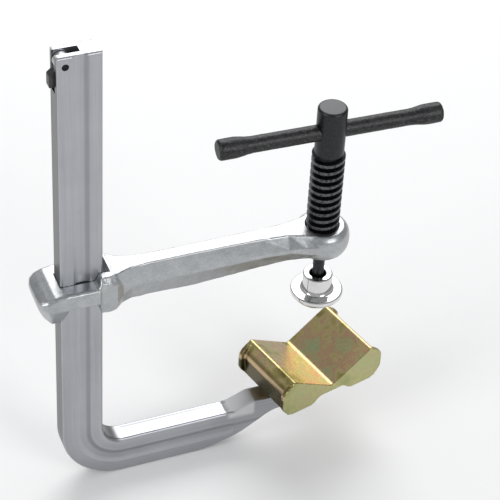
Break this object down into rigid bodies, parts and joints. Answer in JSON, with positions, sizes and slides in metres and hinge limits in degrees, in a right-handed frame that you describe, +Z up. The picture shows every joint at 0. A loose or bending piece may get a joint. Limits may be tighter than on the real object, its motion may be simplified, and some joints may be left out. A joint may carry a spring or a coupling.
{
  "type": "c clamp",
  "caption": "Sliding-arm C clamp: bent steel rail, forged arm, screw with cross bar, swivel pad and V pad for holding tube and flat work.",
  "frame": {"origin": "centre of the clamp's footprint, on the ground", "axes": "+Z up the rail, +X from the rail towards the screw"},
  "size_m": [0.2428, 0.0642, 0.3105],
  "materials": {
    "plated_rail": "satin zinc plate",
    "plated_forging": "satin zinc plate on a forging",
    "black_oxide": "black oxide on turned steel",
    "dark_steel": "plain dark steel",
    "spring_steel": "spring steel",
    "chrome": "bright chrome",
    "yellow_zinc": "yellow chromate on zinc"
  },
  "bodies": {
    "frame": {"rail": "plated_rail", "pawl_pin": "dark_steel", "pawl_spring": "spring_steel", "v_pad_stud": "dark_steel"},
    "pawl": {"stop_pawl": "dark_steel"},
    "arm": {"sliding_arm": "plated_forging"},
    "feed": {"ball_stud": "black_oxide"},
    "screw": {"spindle": "black_oxide"},
    "bar": {"tommy_bar": "black_oxide", "bar_end_left": "black_oxide", "bar_end_right": "black_oxide"},
    "pad_ring": {"pad_clip": "spring_steel"},
    "pad": {"swivel_pad": "chrome"},
    "v_ring": {"v_pad_clip": "spring_steel"},
    "v_jaw": {"v_pad": "yellow_zinc", "v_pad_hub": "yellow_zinc"}
  },
  "joints": [
    {"name": "pawl_pivot", "type": "hinge", "parent": "frame", "child": "pawl", "pos_m": [-0.10266, 0, 0.3045], "axis": [0, -1, 0], "range_deg": [0, 20], "stiffness_Nm_per_rad": 0.05, "springref_deg": -22.92, "deforming": ["pawl_spring"]},
    {"name": "arm_slide", "type": "slide", "parent": "frame", "child": "arm", "axis": [0, 0, 1], "range_m": [-0.046, 0.131]},
    {"name": "spindle_turn", "type": "hinge", "parent": "feed", "child": "screw", "pos_m": [0.05384, 0, 0.2], "axis": [0, 0, -1], "range_deg": [-1260, 3240]},
    {"name": "screw_feed", "type": "slide", "parent": "arm", "child": "feed", "axis": [0, 0, -1], "range_m": [-0.0175, 0.045]},
    {"name": "bar_slide", "type": "slide", "parent": "screw", "child": "bar", "axis": [0.9996, -0.0297, 0], "range_m": [-0.039, 0.039]},
    {"name": "pad_spin", "type": "hinge", "parent": "feed", "child": "pad_ring", "pos_m": [0.05384, 0, 0.114], "axis": [0, 0, 1], "continuous": true},
    {"name": "pad_tilt", "type": "hinge", "parent": "pad_ring", "child": "pad", "pos_m": [0.05384, 0, 0.114], "axis": [0, 1, 0], "range_deg": [-8, 8]},
    {"name": "v_pad_spin", "type": "hinge", "parent": "frame", "child": "v_ring", "pos_m": [0.05384, 0, 0.038], "axis": [0, 0, 1], "continuous": true},
    {"name": "v_pad_tilt", "type": "hinge", "parent": "v_ring", "child": "v_jaw", "pos_m": [0.05384, 0, 0.038], "axis": [0.2453, -0.9694, 0], "range_deg": [-5, 5]}
  ],
  "couplings": [
    {"joint": "spindle_turn", "follows": "screw_feed", "rad_per_m": 1256.6}
  ]
}
